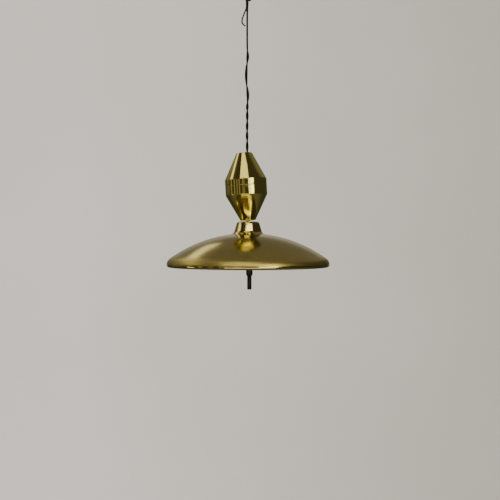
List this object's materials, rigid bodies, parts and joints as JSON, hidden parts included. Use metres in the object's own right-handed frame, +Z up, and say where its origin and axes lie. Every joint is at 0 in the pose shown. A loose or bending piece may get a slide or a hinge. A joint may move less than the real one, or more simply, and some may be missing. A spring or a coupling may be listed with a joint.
{
  "type": "rise-and-fall pendant lamp",
  "caption": "Hanging lamp: twisted black flex, sprung cable reel in a double-cone brass body, shallow brass shade with a flared neck, and a black pull handle.",
  "frame": {"origin": "where the ceiling hook's screw enters the ceiling, on the screw's axis", "axes": "+Z up along the hook's screw, -Y towards the front, +X to the right"},
  "size_m": [0.4499, 0.45, 0.901],
  "materials": {
    "steel_zinc": "zinc plated, dull",
    "steel_plate": "pressed sheet, satin",
    "steel_turned": "turned, satin",
    "spring_steel": "blued",
    "flex_black": "black, slightly glossy sheath",
    "lead_sleeve": "heat sleeve",
    "brass_polished": "mirror polished",
    "brass_shade": "polished, slightly dulled",
    "brass_plain": "turned, satin",
    "plastic_black": "black moulded",
    "handle_black": "black, glossy",
    "phenolic": "brown phenolic",
    "carbon": "carbon brush",
    "brake_felt": "pressed felt",
    "nylon": "natural nylon",
    "aluminium_cast": "die cast, satin",
    "bulb_cap": "rolled thread",
    "bulb_glass": "opal",
    "ceramic_white": "glazed terminal block"
  },
  "bodies": {
    "ceiling": {"ceiling_hook": "steel_zinc"},
    "flex": {"flex_drop": "flex_black", "flex_knot": "flex_black", "flex_loop": "flex_black", "flex_tail": "flex_black"},
    "reel": {"upper_shell": "brass_polished", "lower_shell": "brass_polished", "seam_ring": "brass_plain", "top_bushing": "plastic_black", "bushing_nuts": "brass_plain", "bridge": "steel_plate", "bridge_screws": "steel_zinc", "front_plate": "steel_plate", "rear_plate": "steel_plate", "pillars": "steel_turned", "pillar_nuts": "steel_zinc", "drum_axle": "steel_turned", "axle_nuts": "steel_zinc", "spring_arbor": "steel_turned", "mainspring": "spring_steel", "brush_block": "phenolic", "brushes": "carbon", "brush_screws": "brass_plain", "brush_lead": "flex_black", "brake_bush": "brass_plain", "brake_pad": "brake_felt", "brake_spring": "spring_steel", "brake_screw": "brass_plain", "roller_pin": "steel_turned", "roller_spacers": "brass_plain", "flex_inner_run": "flex_black", "cross_pin": "steel_turned", "pin_clips": "spring_steel", "pin_spacers": "brass_plain"},
    "drum": {"cable_drum": "aluminium_cast", "spring_cover": "steel_plate", "slip_ring_disc": "phenolic", "slip_rings": "brass_plain", "flex_turns": "flex_black"},
    "guide_roller": {"guide_roller": "nylon"},
    "shade": {"hanger_yoke": "steel_plate", "yoke_locknut": "brass_plain", "stem_tube": "brass_plain", "stem_lead": "flex_black", "shade": "brass_shade", "shade_washer": "brass_plain", "shade_nut": "brass_plain", "hub_nut": "brass_plain", "lamp_hub": "brass_plain", "hub_cover": "brass_plain", "side_nipples": "brass_plain", "lampholders": "plastic_black", "bulb_caps": "bulb_cap", "bulb_globes": "bulb_glass", "terminal_block": "ceramic_white", "lamp_leads": "lead_sleeve", "handle_stud": "steel_turned", "handle_collar": "handle_black", "pull_handle": "handle_black"}
  },
  "joints": [
    {"name": "swing", "type": "hinge", "parent": "ceiling", "child": "flex", "pos_m": [0, 0, -0.03691], "axis": [0, 1, 0], "range_deg": [-20, 20]},
    {"name": "height", "type": "slide", "parent": "flex", "child": "reel", "axis": [0, 0, 1], "range_m": [-0.5, 0.2], "deforming": ["flex_drop"]},
    {"name": "drum_spin", "type": "hinge", "parent": "reel", "child": "drum", "pos_m": [-0.0029, 0, -0.59265], "axis": [0, 1, 0], "range_deg": [-756, 307.2]},
    {"name": "roller_spin", "type": "hinge", "parent": "reel", "child": "guide_roller", "pos_m": [0.01465, 0, -0.53555], "axis": [0, 1, 0], "range_deg": [-939.6, 2337.1]},
    {"name": "shade_rock", "type": "hinge", "parent": "reel", "child": "shade", "pos_m": [0.00252, 0, -0.66045], "axis": [0, 1, 0], "range_deg": [-4, 4]}
  ],
  "couplings": [
    {"joint": "drum_spin", "follows": "height", "rad_per_m": 26.11},
    {"joint": "roller_spin", "follows": "height", "rad_per_m": -81.301}
  ]
}
